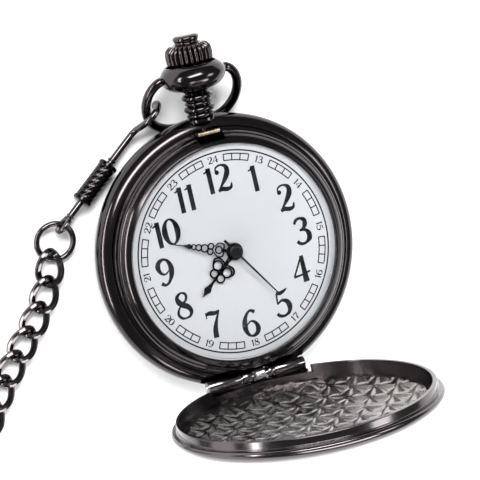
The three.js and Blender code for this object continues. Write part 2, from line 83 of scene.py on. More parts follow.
def noise(tree, place, scale, detail=3.0, stretch=(1, 1, 1)):
    """The brightness of a cloudy noise of that many cells to the metre."""
    mapping = tree.nodes.new("ShaderNodeMapping")
    mapping.inputs["Scale"].default_value = stretch
    cloud = tree.nodes.new("ShaderNodeTexNoise")
    cloud.inputs["Scale"].default_value = scale
    cloud.inputs["Detail"].default_value = detail
    tree.links.new(place, mapping.inputs["Vector"])
    tree.links.new(mapping.outputs["Vector"], cloud.inputs["Vector"])
    return cloud.outputs["Fac"]


def vary(tree, fac, dark, light, low=0.35, high=0.65):
    """A colour between two tones, or with numbers a value between two values."""
    if isinstance(dark, tuple):
        ramp = tree.nodes.new("ShaderNodeValToRGB")
        ramp.color_ramp.elements[0].position = low
        ramp.color_ramp.elements[1].position = high
        ramp.color_ramp.elements[0].color = (*dark, 1)
        ramp.color_ramp.elements[1].color = (*light, 1)
        tree.links.new(fac, ramp.inputs["Fac"])
        return ramp.outputs["Color"]
    spread = tree.nodes.new("ShaderNodeMapRange")
    spread.inputs["From Min"].default_value = low
    spread.inputs["From Max"].default_value = high
    spread.inputs["To Min"].default_value = dark
    spread.inputs["To Max"].default_value = light
    tree.links.new(fac, spread.inputs["Value"])
    return spread.outputs["Result"]


def relief(tree, shader, fac, depth):
    """A fine bump of that depth in metres."""
    bump = tree.nodes.new("ShaderNodeBump")
    bump.inputs["Strength"].default_value = 1
    bump.inputs["Distance"].default_value = depth
    tree.links.new(fac, bump.inputs["Height"])
    tree.links.new(bump.outputs["Normal"], shader.inputs["Normal"])


def coated(name, tones, tone_cells, gloss, gloss_cells, bump_cells, bump_depth):
    """Card, enamel, ink, lacquer or plastic, whose tone and gloss drift a little over a fine bump."""
    material, tree, shader, place = new_material(name)
    tree.links.new(vary(tree, noise(tree, place, tone_cells), *tones), shader.inputs["Base Color"])
    tree.links.new(vary(tree, noise(tree, place, gloss_cells), *gloss), shader.inputs["Roughness"])
    relief(tree, shader, noise(tree, place, bump_cells), bump_depth)
    return material, shader


card_tones = (0.93, 0.93, 0.933), (0.945, 0.945, 0.945)
card, shader = coated("white_card", card_tones, 9, (0.72, 0.78), 2000, 4000, 4e-6)

table_half = 3.0
table_mesh = bpy.data.meshes.new("table")
table_mesh.from_pydata(
    [(x * table_half, y * table_half, 0) for x, y in ((-1, -1), (1, -1), (1, 1), (-1, 1))],
    [], [(0, 1, 2, 3)],
)
table_mesh.materials.append(card)
table = bpy.data.objects.new("table", table_mesh)
scene.collection.objects.link(table)


# ---- Studio light -------------------------------------------------------------------------------
# Large soft panels stand round the table, with dark gaps between them that the polish picks up.

def panel(name, seat, aim, width, height, watts):
    light = bpy.data.lights.new(name, "AREA")
    light.shape = "RECTANGLE"
    light.size = width
    light.size_y = height
    light.energy = watts
    lamp = bpy.data.objects.new(name, light)
    lamp.location = seat
    lamp.rotation_euler = (Vector(aim) - Vector(seat)).to_track_quat("-Z", "Y").to_euler()
    scene.collection.objects.link(lamp)


panel("left_panel", (-1.1, 0.1, 0.42), (0, 0, 0), 1.3, 0.12, 11)
panel("top_panel", (-0.25, 0.85, 1.2), (0, 0, 0), 1.2, 0.45, 38)
panel("right_panel", (1.1, -0.2, 1.2), (0, 0, 0), 0.9, 0.5, 12)
panel("front_panel", (0.1, -1.1, 0.7), (0, 0, 0), 1.2, 0.3, 12)
world = bpy.data.worlds.new("studio")
world.use_nodes = True
world.node_tree.nodes["Background"].inputs["Color"].default_value = (0.95, 0.97, 1, 1)
world.node_tree.nodes["Background"].inputs["Strength"].default_value = 0.2
scene.world = world
scene.view_settings.view_transform = "Standard"


# ---- Chain --------------------------------------------------------------------------------------
# A curb chain of oval wire links, each twisted so that they lie flat, plated black. It runs from the
# clasp's ring across the table, and the rest of it lies in a neat flat coil, with its bar in the middle.

def metal(name, dark, light, polished, dull, scratch=0.0000012):
    """Plated or bare metal: tone and polish drift a little, under fine rubbing marks."""
    material, tree, shader, place = new_material(name)
    shader.inputs["Metallic"].default_value = 1
    tree.links.new(vary(tree, noise(tree, place, 420, 2), dark, light, 0.2, 0.8), shader.inputs["Base Color"])
    gloss = vary(tree, noise(tree, place, 1600, 3), polished, dull, 0.2, 0.8)
    tree.links.new(gloss, shader.inputs["Roughness"])
    relief(tree, shader, noise(tree, place, 5200, 4, (1, 0.35, 1)), scratch)
    return material


black_nickel = metal("black_nickel", (0.047, 0.042, 0.044), (0.053, 0.048, 0.049), 0.13, 0.17)
chain_nickel = metal("chain_nickel", (0.08, 0.072, 0.072), (0.095, 0.086, 0.085), 0.12, 0.2)


def bare_mesh(name, points, faces):
    """A mesh from points in millimetres."""
    mesh = bpy.data.meshes.new(name)
    mesh.from_pydata([tuple(MM * c for c in point) for point in points], [], faces)
    return mesh


def placed(mesh, finish, body, stands_for=(), sharp=32):
    """A mesh cleaned, smoothed and finished, on its body, in place of its plain solids."""
    work = bmesh.new()
    work.from_mesh(mesh)
    bmesh.ops.remove_doubles(work, verts=work.verts, dist=2e-7)
    bmesh.ops.dissolve_degenerate(work, edges=work.edges, dist=1e-7)
    bmesh.ops.recalc_face_normals(work, faces=work.faces)
    for face in work.faces:
        face.smooth = True
    work.to_mesh(mesh)
    work.free()
    mesh.set_sharp_from_angle(angle=math.radians(sharp))
    mesh.materials.append(finish)
    made = bpy.data.objects.new(mesh.name, mesh)
    scene.collection.objects.link(made)
    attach(made, body)
    if stands_for:
        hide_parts(*stands_for)
    return made


def piece(name, points, faces, finish, body, slot, stands_for=()):
    """A piece made straight from points and faces."""
    return placed(bare_mesh(name, points, faces), finish, body, stands_for)


def woven(rows, columns, loop_rows, loop_columns, first=0):
    """The faces of a net of points, row by row, which may close on itself either way."""
    faces = []
    for i in range(rows if loop_rows else rows - 1):
        for j in range(columns if loop_columns else columns - 1):
            next_i, next_j = (i + 1) % rows, (j + 1) % columns
            corners = (i * columns + j, i * columns + next_j, next_i * columns + next_j, next_i * columns + j)
            faces.append(tuple(first + c for c in corners))
    return faces


def flowing(points, steps, closed=False):
    """A smooth line through points, as an array of evenly walked points."""
    line = np.array(points, float)
    if closed:
        held = np.vstack([line[-1], line, line[0], line[1]])
    else:
        held = np.vstack([2 * line[0] - line[1], line, 2 * line[-1] - line[-2]])
    walked = []
    for a, b, c, d in zip(held, held[1:], held[2:], held[3:]):
        for t in np.linspace(0, 1, 24, endpoint=False):
            walked.append(0.5 * (2 * b + (c - a) * t + (2 * a - 5 * b + 4 * c - d) * t ** 2
                                 + (3 * b - a - 3 * c + d) * t ** 3))
    walked.append(line[0] if closed else line[-1])
    walked = np.array(walked)
    way = np.concatenate([[0], np.cumsum(np.linalg.norm(np.diff(walked, axis=0), axis=1))])
    marks = np.linspace(0, way[-1], steps, endpoint=not closed)
    return np.stack([np.interp(marks, way, walked[:, k]) for k in range(walked.shape[1])], axis=1)


def tube(line, radius, sides=14, closed=False):
    """Round wire along a line; radius may be one number or one for each point."""
    line = np.array(line, float)
    count = len(line)
    radii = np.broadcast_to(radius, count)
    if closed:
        heading = np.roll(line, -1, axis=0) - np.roll(line, 1, axis=0)
    else:
        heading = np.gradient(line, axis=0)
    heading /= np.linalg.norm(heading, axis=1, keepdims=True)
    side = np.cross(heading[0], [0.31, 0.2, 0.93])
    points = []
    for k in range(count):
        side = side - heading[k] * side.dot(heading[k])
        side /= np.linalg.norm(side)
        over = np.cross(heading[k], side)
        for turn in np.linspace(0, 2 * math.pi, sides, endpoint=False):
            points.append(line[k] + radii[k] * (math.cos(turn) * side + math.sin(turn) * over))
    faces = woven(count, sides, closed, True)
    if not closed:
        faces += [tuple(range(sides)), tuple(range((count - 1) * sides, count * sides))]
    return points, faces


def gathered(parts):
    """Several meshes as one."""
    points, faces = [], []
    for more_points, more_faces in parts:
        faces += [tuple(c + len(points) for c in face) for face in more_faces]
        points += list(more_points)
    return points, faces


link_pitch = 4.6
link_wire = 0.6
link_long = 2.9
link_wide = 2.2
link_twist = math.radians(40)
chain_height = 1.55

coil_centre = np.array([-80.0, -9.0])
coil_start = 31.0
coil_step = 6.0
coil_turns = 1.7
start_turn = math.radians(-47)
lead_in = [(-30.0, 5.0), (-30.5, 2.6), (-32.1, -0.6), (-34.4, -4.0), (-37.2, -7.4), (-40.2, -10.9),
           (-42.9, -14.4), (-45.6, -18.3), (-49.0, -23.4)]
spiral = []
for share in np.linspace(0, 1, 70):
    turn = start_turn - 2 * math.pi * coil_turns * share
    reach = coil_start - coil_step * coil_turns * share
    spiral.append(tuple(coil_centre + reach * np.array([math.cos(turn), math.sin(turn)])))
last_turn = start_turn - 2 * math.pi * coil_turns
tuck_radius = 12.2
tuck_centre = coil_centre + (coil_start - coil_step * coil_turns - tuck_radius) * np.array(
    [math.cos(last_turn), math.sin(last_turn)])
tuck = [tuple(tuck_centre + tuck_radius * np.array([math.cos(last_turn - a), math.sin(last_turn - a)]))
        for a in np.linspace(0.25, math.pi - 0.1, 12)]
flat_route = np.array(lead_in + spiral + tuck)
route_steps = 900
flat_line = flowing(flat_route, route_steps)
chain_length = float(np.sum(np.linalg.norm(np.diff(flat_line, axis=0), axis=1)))
way_along = np.linspace(0, chain_length, route_steps)


def chain_link(middle, heading):
    """One link: an oval of wire twisted end from end, so that its neighbours pass through it flat."""
    line = []
    for turn in np.linspace(0, 2 * math.pi, 30, endpoint=False):
        along = link_long * math.cos(turn)
        across = link_wide * math.sin(turn) * (1 + 0.08 * math.cos(2 * turn))
        twist = link_twist * math.cos(turn)
        aside = across * math.cos(twist)
        line.append((
            middle[0] + along * heading[0] - aside * heading[1],
            middle[1] + along * heading[1] + aside * heading[0],
            chain_height + across * math.sin(twist),
        ))
    return tube(line, link_wire, 10, closed=True)


links = []
for k in range(int((chain_length - link_long) // link_pitch) + 1):
    here = 0.4 * link_long + k * link_pitch
    middle = np.array([np.interp(here, way_along, flat_line[:, axis]) for axis in (0, 1)])
    ahead = np.array([np.interp(here + 1.5, way_along, flat_line[:, axis]) for axis in (0, 1)])
    behind = np.array([np.interp(max(here - 1.5, 0), way_along, flat_line[:, axis]) for axis in (0, 1)])
    heading = (ahead - behind) / np.linalg.norm(ahead - behind)
    links.append(chain_link(middle, heading))
chain_end = middle + heading * (link_long + 0.9)
chain = piece("curb_chain", *gathered(links), chain_nickel, "watch_case", "gunmetal",
              ("chain_run", "chain_coil"))

# The chain ends in a split ring on the middle of a cross bar, the part that goes through a buttonhole.
bar_low, bar_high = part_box("t_bar")
bar_middle = (np.array(bar_low) + np.array(bar_high)) / 2 / MM
bar_turn = math.radians(60)
bar_way = np.array([math.cos(bar_turn), math.sin(bar_turn), 0])
bar_half = 12.4
bar_share = np.linspace(-1, 1, 61)
bar_knob = 0.35 * np.exp(-((np.abs(bar_share) - 0.97) / 0.04) ** 2)
bar_thick = 0.72 + 0.28 * np.cos(bar_share * math.pi * 2) ** 2 + bar_knob
bar_thick *= np.sqrt(np.clip(1 - (np.abs(bar_share) - 0.965).clip(0) / 0.036, 0.02, 1))
bar_line = [bar_middle + bar_way * bar_half * s for s in bar_share]
ring_towards = np.array([*(chain_end - bar_middle[:2]), 0])
ring_middle = bar_middle + ring_towards * 0.5 + np.array([0, 0, 0.3])
ring_reach = np.linalg.norm(ring_towards) * 0.5 + 0.9
ring_turns = np.linspace(0, 2 * math.pi, 40, endpoint=False)
end_ring = [ring_middle + ring_reach * np.array([math.cos(t), math.sin(t), 0.1 * math.sin(t)])
            for t in ring_turns]
bar_parts = [tube(bar_line, bar_thick, 18), tube(end_ring, 0.45, 10, closed=True)]
cross_bar = piece("cross_bar", *gathered(bar_parts), chain_nickel, "watch_case", "gunmetal", ("t_bar",))


# ---- Clasp --------------------------------------------------------------------------------------
# A sleeve clasp of plated brass wire: the hook goes over the bow and ends in a ball, a knurled sleeve
# slides along the shank to open and close it, and the eye at the tail holds the chain's jump ring.

bow_pivot = 31.0
bow_fold = math.radians(33)
hook_out = 7.0                      # how far along the bow from its pivots the hook hangs
tail = np.array([-25.8, 10.9])
hook_on_bow = np.array([-8.15, bow_pivot - hook_out * math.cos(bow_fold)])
shank_way = (tail - hook_on_bow) / np.linalg.norm(tail - hook_on_bow)
shank_reach = float(np.linalg.norm(tail - hook_on_bow))
shank_height = 1.95
hook_rise = [(-5.5, 1.95), (-3.2, 2.3), (-1.9, 3.9), (-0.5, 5.15), (1.1, 5.3), (2.3, 4.2), (2.5, 2.9),
             (2.5, 2.4)]
shank = [(*(tail - shank_way * a), shank_height) for a in (0.6, 4.0, 10.0)]
shank += [(*(tail - shank_way * (shank_reach + past)), height) for past, height in hook_rise]
hook_wire = flowing(shank, 90)
hook_radius = np.full(90, 0.58)
hook_radius[-7:] = [0.6, 0.7, 0.8, 0.86, 0.8, 0.6, 0.2]
eye_centre = np.array([*(tail + shank_way * 0.7), shank_height])
eye_turns = np.linspace(0, 2 * math.pi, 36, endpoint=False)
eye = [eye_centre + 1.35 * np.array([*(shank_way * math.cos(t)), math.sin(t)]) for t in eye_turns]
collars = []
for at, reach in ((0.55, 0.78), (1.15, 0.7), (13.1, 0.78)):
    start = np.array([*(tail - shank_way * (at - 0.22)), shank_height])
    stop = np.array([*(tail - shank_way * (at + 0.22)), shank_height])
    collars.append(tube(np.linspace(start, stop, 7), reach * np.array([0.8, 0.95, 1, 1, 1, 0.95, 0.8]), 20))
piece("clasp_wire", *gathered([tube(hook_wire, hook_radius, 16), tube(eye, 0.5, 12, closed=True), *collars]),
      chain_nickel, "watch_case", "gunmetal", ("clasp_hook",))

sleeve_start = 4.2
sleeve_long = 8.2
sleeve_rings = 70
sleeve_sides = 48
sleeve_points = []
shank_side = np.array([-shank_way[1], shank_way[0], 0])
for k in range(sleeve_rings):
    share = k / (sleeve_rings - 1)
    collar = 1.0 if min(share, 1 - share) < 0.1 else 0.0
    waist = 1.5 + 0.24 * collar - 0.35 * max(0, 1 - min(share, 1 - share) / 0.02)
    for j in range(sleeve_sides):
        turn = 2 * math.pi * j / sleeve_sides
        ridge = 0.0 if collar else 0.09 * max(0, math.sin(12 * turn + 46 * share))
        reach = waist + ridge
        at = np.array([*(tail - shank_way * (sleeve_start + sleeve_long * share)), shank_height])
        around = math.cos(turn) * shank_side + math.sin(turn) * np.array([0, 0, 1])
        sleeve_points.append(at + reach * around)
sleeve_faces = woven(sleeve_rings, sleeve_sides, False, True)
sleeve_last = (sleeve_rings - 1) * sleeve_sides
sleeve_faces += [tuple(range(sleeve_sides)), tuple(range(sleeve_last, sleeve_last + sleeve_sides))]
dark_nickel = metal("dark_nickel", (0.02, 0.018, 0.019), (0.026, 0.023, 0.024), 0.16, 0.22)
piece("clasp_sleeve_knurled", sleeve_points, sleeve_faces, dark_nickel, "sleeve", "gunmetal",
      ("clasp_sleeve",))

ring_tilt = math.radians(12)
ring_out = np.array([-0.6 * math.cos(ring_tilt), -0.8 * math.cos(ring_tilt), -math.sin(ring_tilt)])
ring_aside = np.array([0.8, -0.6, 0])
ring_radius = 3.2
ring_centre = eye_centre + ring_radius * ring_out
jump_ring = [ring_centre + ring_radius * (math.cos(t) * ring_out + math.sin(t) * ring_aside)
             for t in np.linspace(0, 2 * math.pi, 64, endpoint=False)]
jump = piece("jump_ring_wire", *tube(jump_ring, 0.5, 14, closed=True), chain_nickel, "watch_case", "gunmetal",
             ("jump_ring",))


# ---- Case back and case middle ------------------------------------------------------------------
# The back is a shallow pressed dish that snaps on; the middle is a turned ring with a rounded
# shoulder, cut flat for the hinge at 6 o'clock and opened for the latch at 12.

def filleted(corners, bends=6):
    """A closed profile of (radius, height, fillet) corners with each corner rounded."""
    outline = []
    count = len(corners)
    for k, (r, z, fillet) in enumerate(corners):
        here = np.array([r, z], float)
        if not fillet:
            outline.append(tuple(here))
            continue
        before = np.array(corners[k - 1][:2], float) - here
        after = np.array(corners[(k + 1) % count][:2], float) - here
        reach = min(fillet, 0.48 * np.linalg.norm(before), 0.48 * np.linalg.norm(after))
        start = here + before / np.linalg.norm(before) * reach
        stop = here + after / np.linalg.norm(after) * reach
        for t in np.linspace(0, 1, bends):
            outline.append(tuple((1 - t) ** 2 * start + 2 * t * (1 - t) * here + t ** 2 * stop))
    return outline


def turned(outline, steps=200, closed=True):
    """A profile of (radius, height) points turned round the watch's axis."""
    points = []
    for k in range(steps):
        turn = 2 * math.pi * k / steps
        points += [(r * math.cos(turn), r * math.sin(turn), z) for r, z in outline]
    return points, woven(steps, len(outline), True, closed)


def milled(blank, low, high):
    """Cuts a box-shaped slot, given by its corners in millimetres, out of a piece."""
    mesh = bpy.data.meshes.new("cutter")
    corners = [(x * MM, y * MM, z * MM) for x, y, z in itertools.product(*zip(low, high))]
    sides = [(0, 1, 3, 2), (4, 6, 7, 5), (0, 4, 5, 1), (2, 3, 7, 6), (0, 2, 6, 4), (1, 5, 7, 3)]
    mesh.from_pydata(corners, [], sides)
    cutter = bpy.data.objects.new("cutter", mesh)
    scene.collection.objects.link(cutter)
    slot = blank.modifiers.new("slot", "BOOLEAN")
    slot.operation = "DIFFERENCE"
    slot.solver = "EXACT"
    slot.object = cutter
    cut_mesh = bpy.data.meshes.new_from_object(blank.evaluated_get(bpy.context.evaluated_depsgraph_get()))
    blank.modifiers.remove(slot)
    blank.data = cut_mesh
    cut_mesh.set_sharp_from_angle(angle=math.radians(32))
    bpy.data.objects.remove(cutter)


back_outline = filleted([
    (0, 0, 0), (12, 0, 3), (16, 0.4, 3), (19.6, 1.25, 2), (21.6, 2, 0.5), (22.25, 2.6, 0.2),
    (20.2, 2.62, 0.1), (20.2, 3.6, 0.1), (19.5, 3.6, 0.1), (19.3, 2.2, 0.3), (16, 1.3, 2), (12, 0.8, 2),
    (0, 0.8, 0),
])
piece("back_dish", *turned(back_outline), black_nickel, "watch_case", "gunmetal", ("case_back",))

middle_outline = filleted([
    (20.6, 2.95, 0.15), (22.35, 2.95, 0.25), (23.15, 4, 0.8), (23.5, 5.3, 0.9), (23.5, 6.5, 0.9),
    (23.1, 7.35, 0.7), (22.3, 8, 0.5), (21.5, 8.25, 0.35), (21.3, 8.12, 0.12), (20.9, 8.12, 0.1),
    (20.8, 8.35, 0.08), (19.3, 8.35, 0.1), (19.3, 3.9, 0.1), (20.6, 3.9, 0.1),
])
middle = piece("case_ring", *turned(middle_outline, 240), black_nickel, "watch_case", "gunmetal",
               ("case_middle",))
milled(middle, (-9.6, -25, 5.9), (9.6, -20.3, 12))
milled(middle, (-2.4, 18, 5.6), (2.4, 21.6, 12))
milled(middle, (-0.95, 21.5, 6.05), (0.95, 24, 7.95))


# ---- Bezel --------------------------------------------------------------------------------------
# The bezel is a turned ring that slopes down from the crystal in a polished flank, a fine step and a
# thin bright land, and it is notched at 12 o'clock over the latch.

bezel_outline = filleted([
    (18.62, 10.2, 0.04), (18.62, 10.86, 0.1), (18.95, 10.92, 0.1), (19.7, 10.4, 0.25), (20.1, 9.95, 0.12),
    (20.22, 9.72, 0.06), (20.36, 9.74, 0.06), (20.62, 9.45, 0.12), (20.75, 9.15, 0.1), (20.75, 8.6, 0.08),
    (19.1, 8.6, 0.05), (19.1, 10.2, 0.05),
])
bezel = piece("bezel_ring", *turned(bezel_outline, 240), black_nickel, "watch_case", "gunmetal", ("bezel",))
milled(bezel, (-2.4, 19.3, 8), (2.4, 22, 12))


# ---- Dial ---------------------------------------------------------------------------------------
# The dial is a thin brass disc enamelled cool white and printed in black: a ring line, a minute track
# of small boxes with 13 to 24 between them, and twelve full-bodied hour numerals.

# Painted shade: the enamel is given a grey well below its real white. This stands in for the shade the dial
# lies in under the crystal and bezel.
shaded_enamel_tones = (0.545, 0.545, 0.565), (0.555, 0.555, 0.575)
enamel, shader = coated("white_enamel_painted_shade", shaded_enamel_tones, 90, (0.38, 0.46), 2400, 3500, 1.5e-6)

dial_top = 10.0
dial_outline = filleted([
    (1.38, 9.6, 0.04), (18.7, 9.6, 0.05), (18.7, dial_top, 0.08), (1.38, dial_top, 0.08),
], 3)
piece("enamel_dial", *turned(dial_outline, 160), enamel, "watch_case", "dial", ("dial",))

ink_tones = (0.008, 0.008, 0.009), (0.02, 0.02, 0.022)
ink, shader = coated("black_ink", ink_tones, 700, (0.4, 0.6), 5000, 6000, 2e-6)
shader.inputs["Specular IOR Level"].default_value = 0.08


def flat_stroke(points, widths, low, high, closed=False, steps=None):
    """A pen stroke of changing width as a thin solid between two heights."""
    count = steps or max(12, 5 * len(points))
    line = flowing(points, count, closed)
    source = np.linspace(0, 1, len(widths) + (1 if closed else 0))
    given = list(widths) + ([widths[0]] if closed else [])
    half = np.interp(np.linspace(0, 1, count, endpoint=not closed), source, given) / 2
    if closed:
        heading = np.roll(line, -1, axis=0) - np.roll(line, 1, axis=0)
    else:
        heading = np.gradient(line, axis=0)
    heading /= np.linalg.norm(heading, axis=1, keepdims=True)
    normal = np.stack([-heading[:, 1], heading[:, 0]], axis=1)
    left = line + normal * half[:, None]
    right = line - normal * half[:, None]
    points = []
    for l, r in zip(left, right):
        points += [(*l, low), (*l, high), (*r, high), (*r, low)]
    faces = woven(count, 4, closed, True)
    if not closed:
        faces += [(0, 1, 2, 3), tuple(4 * (count - 1) + c for c in range(4))]
    return points, faces


def dot(x, y, radius, low, high, sides=20):
    """A small flat disc."""
    turns = [2 * math.pi * k / sides for k in range(sides)]
    points = [(x + radius * math.cos(a), y + radius * math.sin(a), z) for z in (low, high) for a in turns]
    return points, woven(2, sides, False, True) + [tuple(range(sides)), tuple(range(sides, 2 * sides))]


# Each numeral is a list of strokes, (points, widths, closed), and of ball ends (x, y, radius), in a box
# 1 high. The strokes swell and thin like those of a broad pen.
oval_turns = np.linspace(0, 2 * math.pi, 12, endpoint=False)
oval = [(0.29 + 0.22 * math.sin(a), 0.5 + 0.455 * math.cos(a)) for a in oval_turns]
oval_widths = [0.06 + 0.13 * abs(math.sin(a)) ** 1.5 for a in oval_turns]
six = [(0.5, 0.86), (0.38, 0.955), (0.24, 0.89), (0.11, 0.66), (0.07, 0.36), (0.15, 0.11), (0.3, 0.03),
       (0.46, 0.12), (0.51, 0.31), (0.43, 0.51), (0.29, 0.57), (0.15, 0.46)]
six_widths = [0.12, 0.08, 0.1, 0.16, 0.18, 0.13, 0.07, 0.13, 0.17, 0.11, 0.06, 0.04]
numerals = {
    "0": ([(oval, oval_widths, True)], []),
    "1": ([([(0.22, 0.02), (0.22, 0.5), (0.22, 0.97)], [0.15, 0.15, 0.15], False),
           ([(0.22, 0.94), (0.13, 0.85), (0.04, 0.82)], [0.11, 0.06, 0.04], False)], []),
    "2": ([([(0.1, 0.72), (0.13, 0.9), (0.3, 0.965), (0.47, 0.88), (0.5, 0.7), (0.41, 0.49), (0.23, 0.25),
             (0.09, 0.07)], [0.04, 0.06, 0.07, 0.15, 0.18, 0.14, 0.08, 0.06], False),
           ([(0.07, 0.05), (0.2, 0.1), (0.38, 0.055), (0.52, 0.09), (0.57, 0.25)],
            [0.09, 0.14, 0.14, 0.1, 0.04], False)], [(0.145, 0.73, 0.085)]),
    "3": ([([(0.07, 0.8), (0.16, 0.93), (0.29, 0.965), (0.43, 0.89), (0.45, 0.74), (0.36, 0.58),
             (0.22, 0.53)], [0.09, 0.1, 0.08, 0.14, 0.16, 0.1, 0.06], False),
           ([(0.22, 0.53), (0.4, 0.51), (0.51, 0.36), (0.49, 0.16), (0.32, 0.035), (0.15, 0.06),
             (0.06, 0.17)], [0.06, 0.09, 0.16, 0.17, 0.08, 0.1, 0.11], False)], []),
    "4": ([([(0.43, 0.01), (0.42, 0.5), (0.42, 0.99)], [0.2, 0.15, 0.13], False),
           ([(0.41, 0.97), (0.05, 0.31)], [0.06, 0.06], False),
           ([(0.02, 0.28), (0.32, 0.3), (0.62, 0.36)], [0.08, 0.06, 0.06], False)], []),
    "5": ([([(0.14, 0.9), (0.28, 0.88), (0.42, 0.92), (0.54, 0.99)], [0.1, 0.13, 0.1, 0.04], False),
           ([(0.15, 0.9), (0.12, 0.5)], [0.06, 0.06], False),
           ([(0.12, 0.5), (0.28, 0.6), (0.46, 0.52), (0.52, 0.31), (0.45, 0.11), (0.28, 0.03), (0.12, 0.07),
             (0.04, 0.17)], [0.05, 0.08, 0.14, 0.18, 0.13, 0.08, 0.1, 0.11], False)], []),
    "6": ([(six, six_widths, False)], []),
    "7": ([([(0.06, 0.9), (0.2, 0.93), (0.38, 0.89), (0.55, 0.95)], [0.08, 0.15, 0.13, 0.05], False),
           ([(0.07, 0.99), (0.07, 0.76)], [0.04, 0.04], False),
           ([(0.54, 0.95), (0.39, 0.62), (0.29, 0.32), (0.26, 0.0)], [0.05, 0.09, 0.16, 0.18], False)], []),
    "8": ([([(0.3, 0.965), (0.44, 0.88), (0.43, 0.7), (0.29, 0.56), (0.13, 0.42), (0.07, 0.22), (0.17, 0.06),
             (0.3, 0.03), (0.45, 0.07), (0.52, 0.23), (0.44, 0.41), (0.29, 0.52), (0.16, 0.66), (0.14, 0.85)],
            [0.06, 0.09, 0.08, 0.06, 0.06, 0.09, 0.09, 0.06, 0.09, 0.14, 0.17, 0.18, 0.17, 0.11], True)], []),
    "9": ([([(0.58 - x, 1 - y) for x, y in six], six_widths, False)], []),
}
digit_width = {"1": 0.36, "4": 0.64}
print_low = dial_top - 0.01
print_high = dial_top + 0.012
print_turn = math.radians(1.93)     # the printing sits a touch anticlockwise of the crown


def number(text, middle, height, weight, broad=1.1):
    """A number set upright with its middle at a point of the dial."""
    widths = [digit_width.get(digit, 0.58) for digit in text]
    wide = broad * height
    pen = -sum(widths) / 2
    parts = []
    for digit, width in zip(text, widths):
        strokes, balls = numerals[digit]
        for line, swell, closed in strokes:
            drawn = [(middle[0] + wide * (pen + x), middle[1] + height * (y - 0.5)) for x, y in line]
            nib = [height * weight * w for w in swell]
            parts.append(flat_stroke(drawn, nib, print_low, print_high, closed))
        for x, y, radius in balls:
            seat = middle[0] + wide * (pen + x), middle[1] + height * (y - 0.5)
            parts.append(dot(*seat, height * radius, print_low, print_high))
        pen += width
    return parts


def spun(points, turn):
    """Points turned anticlockwise about the dial's centre."""
    c, s = math.cos(turn), math.sin(turn)
    return [(c * x - s * y, s * x + c * y, z) for x, y, z in points]


def on_circle(radius, turn):
    """A point of the dial at an angle clockwise from 12."""
    return radius * math.sin(turn), radius * math.cos(turn)


def printed(line, width, closed=False, steps=None):
    """A printed line of even width."""
    return flat_stroke(line, [width] * len(line), print_low, print_high, closed, steps)


hour_ring = 12.85
hour_height = 4.75
small_ring = 16.25
small_height = 1.2
track_lines = (15.7, 16.8)
track_start = math.radians(7)       # each box of the track starts and stops this far from the hours
box_turn = math.radians(16)
line_width = 0.2
printing = []
for hour in range(12):
    angle = math.radians(30 * hour)
    printing += number(str(hour or 12), on_circle(hour_ring, angle), hour_height, 1.18)
    facing = angle if math.cos(angle) > -0.1 else angle + math.pi
    afternoon = str(hour + 12 if hour else 24)
    small_points, small_faces = gathered(number(afternoon, (0, 0), small_height, 1.2, 1.4))
    seat_x, seat_y = on_circle(small_ring, angle)
    printing.append(([(seat_x + x * math.cos(facing) + y * math.sin(facing),
                       seat_y - x * math.sin(facing) + y * math.cos(facing), z) for x, y, z in small_points],
                     small_faces))
    for radius in track_lines:
        turns = angle + track_start + box_turn * np.linspace(0, 1, 8)
        printing.append(printed([on_circle(radius, a) for a in turns], line_width, steps=16))
    for mark in range(4):
        turn = angle + track_start + box_turn * mark / 3
        ends = [on_circle(r, turn) for r in (track_lines[0] - 0.05, track_lines[1] + 0.05)]
        printing.append(printed(ends, line_width))
ring_turns = np.linspace(0, 2 * math.pi, 60, endpoint=False)
printing.append(printed([on_circle(17.4, a) for a in ring_turns], 0.26, True, 180))
print_points, print_faces = gathered(printing)
print_points = spun(print_points, print_turn)
piece("dial_printing", print_points, print_faces, ink, "watch_case", "dial")


# ---- Hands --------------------------------------------------------------------------------------
# The hands are stamped from thin steel and lacquered black: pierced scrollwork and a leaf tip on the
# hour and minute hands, a fine needle with a tail for the seconds, each pushed on its own pipe.

lacquer_tones = (0.006, 0.006, 0.007), (0.014, 0.014, 0.015)
lacquer, shader = coated("black_lacquer", lacquer_tones, 500, (0.16, 0.3), 3000, 5200, 1e-6)
shader.inputs["Specular IOR Level"].default_value = 0.15


def scroll(x, y, radius, width, low, high):
    """A pierced ring of the scrollwork."""
    around = [(x + radius * math.cos(a), y + radius * math.sin(a)) for a in oval_turns]
    return flat_stroke(around, [width] * 12, low, high, True, 36)


def hand(name, node, body, clockwise, levels, strokes, scrolls, hub_radius):
    """A hand drawn along 12 o'clock as strokes and scrolls, then turned to its time."""
    low, high = levels
    parts = [flat_stroke(line, widths, low, high, False, 40) for line, widths in strokes]
    parts += [scroll(*ring, low, high) for ring in scrolls]
    parts.append(dot(0, 0, hub_radius, low, high, 40))
    points, faces = gathered(parts)
    return piece(name, spun(points, math.radians(-clockwise)), faces, lacquer, body, "hands", (node,))


